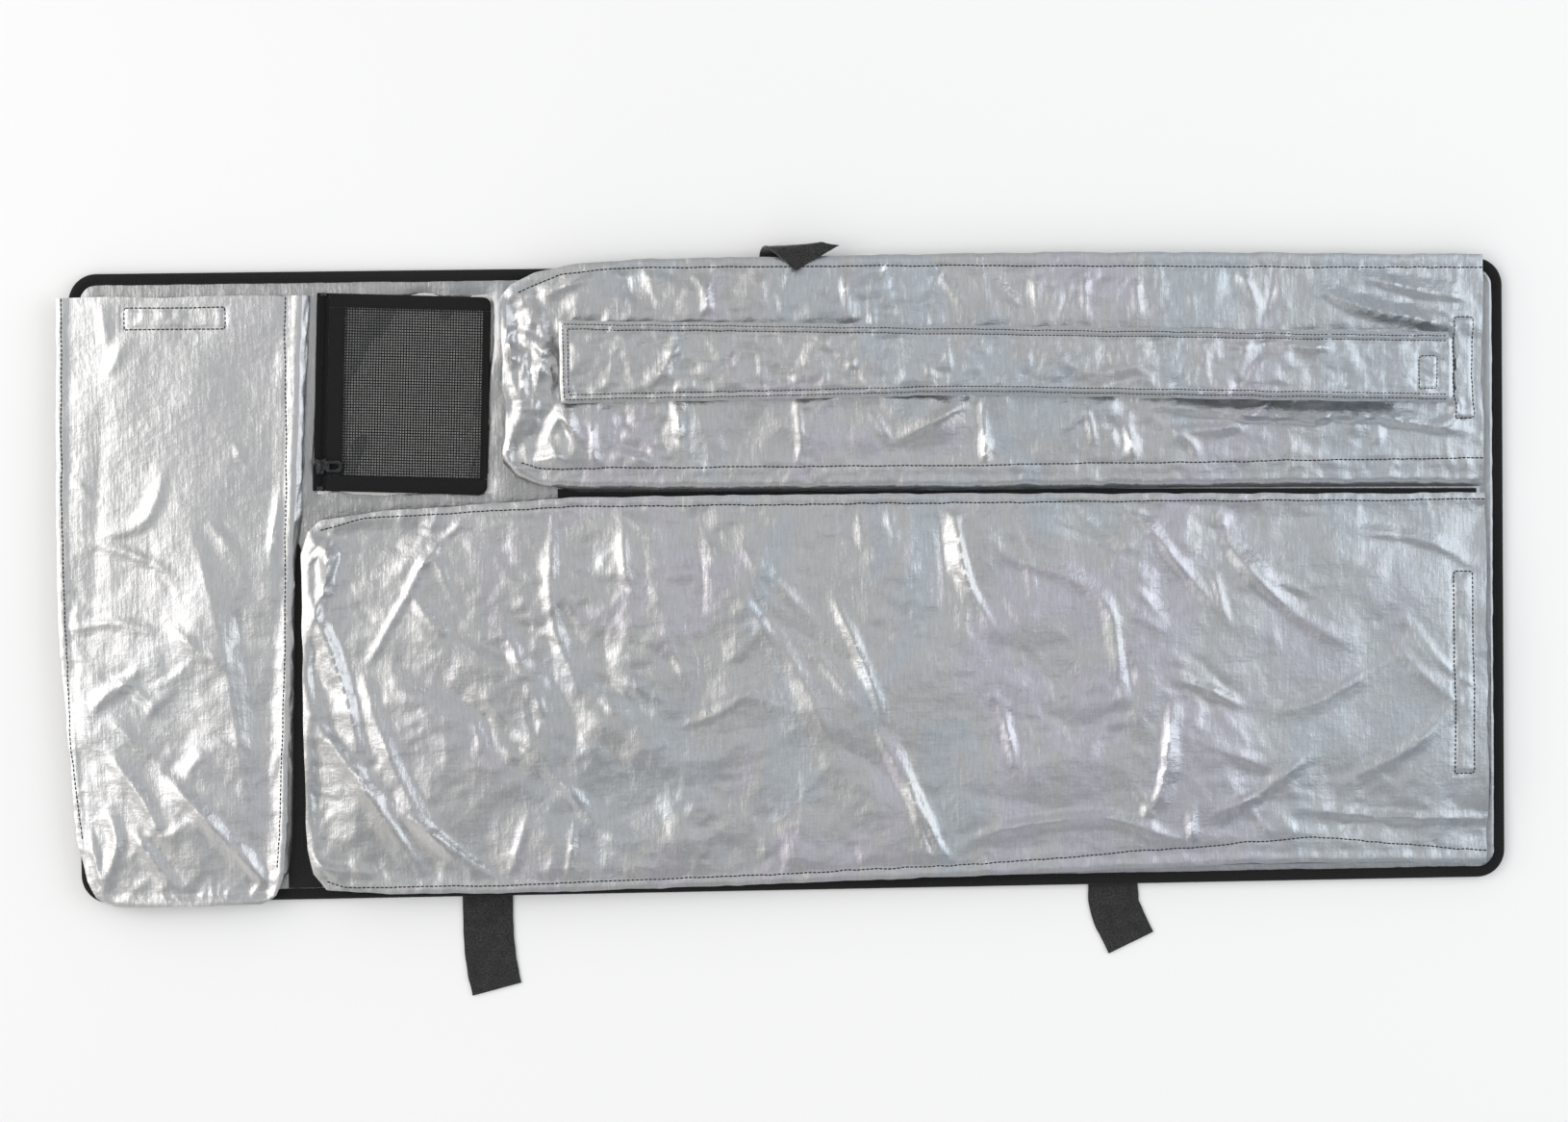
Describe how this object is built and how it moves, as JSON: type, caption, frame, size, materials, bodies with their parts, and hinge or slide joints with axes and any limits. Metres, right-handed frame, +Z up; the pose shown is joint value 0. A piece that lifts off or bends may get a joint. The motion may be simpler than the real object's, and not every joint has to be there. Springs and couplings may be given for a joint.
{
  "type": "padded gear organiser panel",
  "caption": "Flat padded panel with silver woven-foil sleeves, a side pouch, a zipped mesh pocket, black bound edge and loop-tape straps along two long edges.",
  "frame": {"origin": "centre of the footprint, on the floor the panel lies on", "axes": "+X along the panel towards the sleeve mouths, +Y towards the edge with the single folded strap, +Z up out of the panel's pocket side"},
  "size_m": [1.202, 0.6204, 0.0366],
  "materials": {
    "silver_laminate": "metallised woven film, wrinkled, semi-gloss",
    "back_fabric": "matte woven polyester",
    "foam": "closed-cell foam, hidden",
    "binding_tape": "ribbed grosgrain",
    "pocket_mesh": "coated open mesh",
    "zip_tape": "woven tape",
    "zip_coil": "moulded coil",
    "zip_metal": "black enamel",
    "hook_tape": "hook tape",
    "loop_tape_grey": "loop tape",
    "strap_loop_tape": "fuzzy loop tape"
  },
  "bodies": {
    "panel": {"lining": "silver_laminate", "pouch_front": "silver_laminate", "pouch_wall_left": "silver_laminate", "pouch_wall_right": "silver_laminate", "pouch_wall_bottom": "silver_laminate", "upper_front": "silver_laminate", "upper_wall_high": "silver_laminate", "upper_wall_low": "silver_laminate", "upper_wall_end": "silver_laminate", "narrow_front": "silver_laminate", "narrow_wall_high": "silver_laminate", "narrow_wall_low": "silver_laminate", "narrow_wall_end": "silver_laminate", "lower_front": "silver_laminate", "lower_wall_high": "silver_laminate", "lower_wall_low": "silver_laminate", "lower_wall_end": "silver_laminate", "back_cover": "back_fabric", "foam_core": "foam", "edge_binding": "binding_tape", "gutter_tape": "binding_tape", "mesh_sheet": "pocket_mesh", "mesh_border_top": "binding_tape", "mesh_border_bottom": "binding_tape", "mesh_border_right": "binding_tape", "mesh_border_zip": "binding_tape", "zip_tape_left": "zip_tape", "zip_tape_right": "zip_tape", "zip_coil_left": "zip_coil", "zip_coil_right": "zip_coil", "zip_stop_top": "zip_metal", "zip_stop_bottom": "zip_metal", "pouch_loop_strip": "loop_tape_grey", "upper_loop_strip": "loop_tape_grey", "lower_loop_strip": "loop_tape_grey", "strap_left_root": "strap_loop_tape", "strap_right_root": "strap_loop_tape", "strap_top_riser": "strap_loop_tape"},
    "pouch_mouth": {"pouch_lip": "silver_laminate", "pouch_hook_strip": "hook_tape"},
    "lower_mouth": {"lower_lip": "silver_laminate", "lower_hook_strip": "hook_tape"},
    "upper_mouth": {"upper_lip": "silver_laminate", "upper_hook_strip": "hook_tape", "narrow_wall_high_mouth": "silver_laminate", "narrow_wall_low_mouth": "silver_laminate", "narrow_loop_tab": "loop_tape_grey"},
    "narrow_mouth": {"narrow_lip": "silver_laminate", "narrow_hook_tab": "hook_tape"},
    "slider": {"zip_slider": "zip_metal"},
    "puller": {"zip_puller": "zip_metal"},
    "left_strap": {"strap_left": "strap_loop_tape"},
    "right_strap": {"strap_right": "strap_loop_tape"},
    "top_strap": {"strap_top_flap": "strap_loop_tape"}
  },
  "joints": [
    {"name": "lower_mouth_lift", "type": "hinge", "parent": "panel", "child": "lower_mouth", "pos_m": [0.456, -0.05706, 0.0233], "axis": [0, -1, 0], "range_deg": [0, 8]},
    {"name": "upper_mouth_lift", "type": "hinge", "parent": "panel", "child": "upper_mouth", "pos_m": [0.436, 0.20894, 0.0322], "axis": [0, -1, 0], "range_deg": [0, 8]},
    {"name": "narrow_mouth_lift", "type": "hinge", "parent": "upper_mouth", "child": "narrow_mouth", "pos_m": [0.436, 0.20394, 0.0322], "axis": [0, -1, 0], "range_deg": [0, 7]},
    {"name": "pouch_mouth_lift", "type": "hinge", "parent": "panel", "child": "pouch_mouth", "pos_m": [-0.501, 0.15394, 0.0198], "axis": [1, 0, 0], "range_deg": [0, 8]},
    {"name": "zip_travel", "type": "slide", "parent": "panel", "child": "slider", "axis": [0.0384, 0.9993, 0], "range_m": [0, 0.132]},
    {"name": "zip_pull_swing", "type": "hinge", "parent": "slider", "child": "puller", "pos_m": [-0.38499, 0.13353, 0.01445], "axis": [-0.0384, -0.9993, 0], "range_deg": [0, 120]},
    {"name": "left_strap_fold", "type": "hinge", "parent": "panel", "child": "left_strap", "pos_m": [-0.254, -0.22836, 0.001], "axis": [-1, 0, 0], "range_deg": [0, 100]},
    {"name": "right_strap_fold", "type": "hinge", "parent": "panel", "child": "right_strap", "pos_m": [0.27, -0.22836, 0.001], "axis": [-1, 0, 0], "range_deg": [0, 100]},
    {"name": "top_strap_unfold", "type": "hinge", "parent": "panel", "child": "top_strap", "pos_m": [0.01, 0.30954, 0.0253], "axis": [-1, 0, 0], "range_deg": [0, 150]}
  ]
}
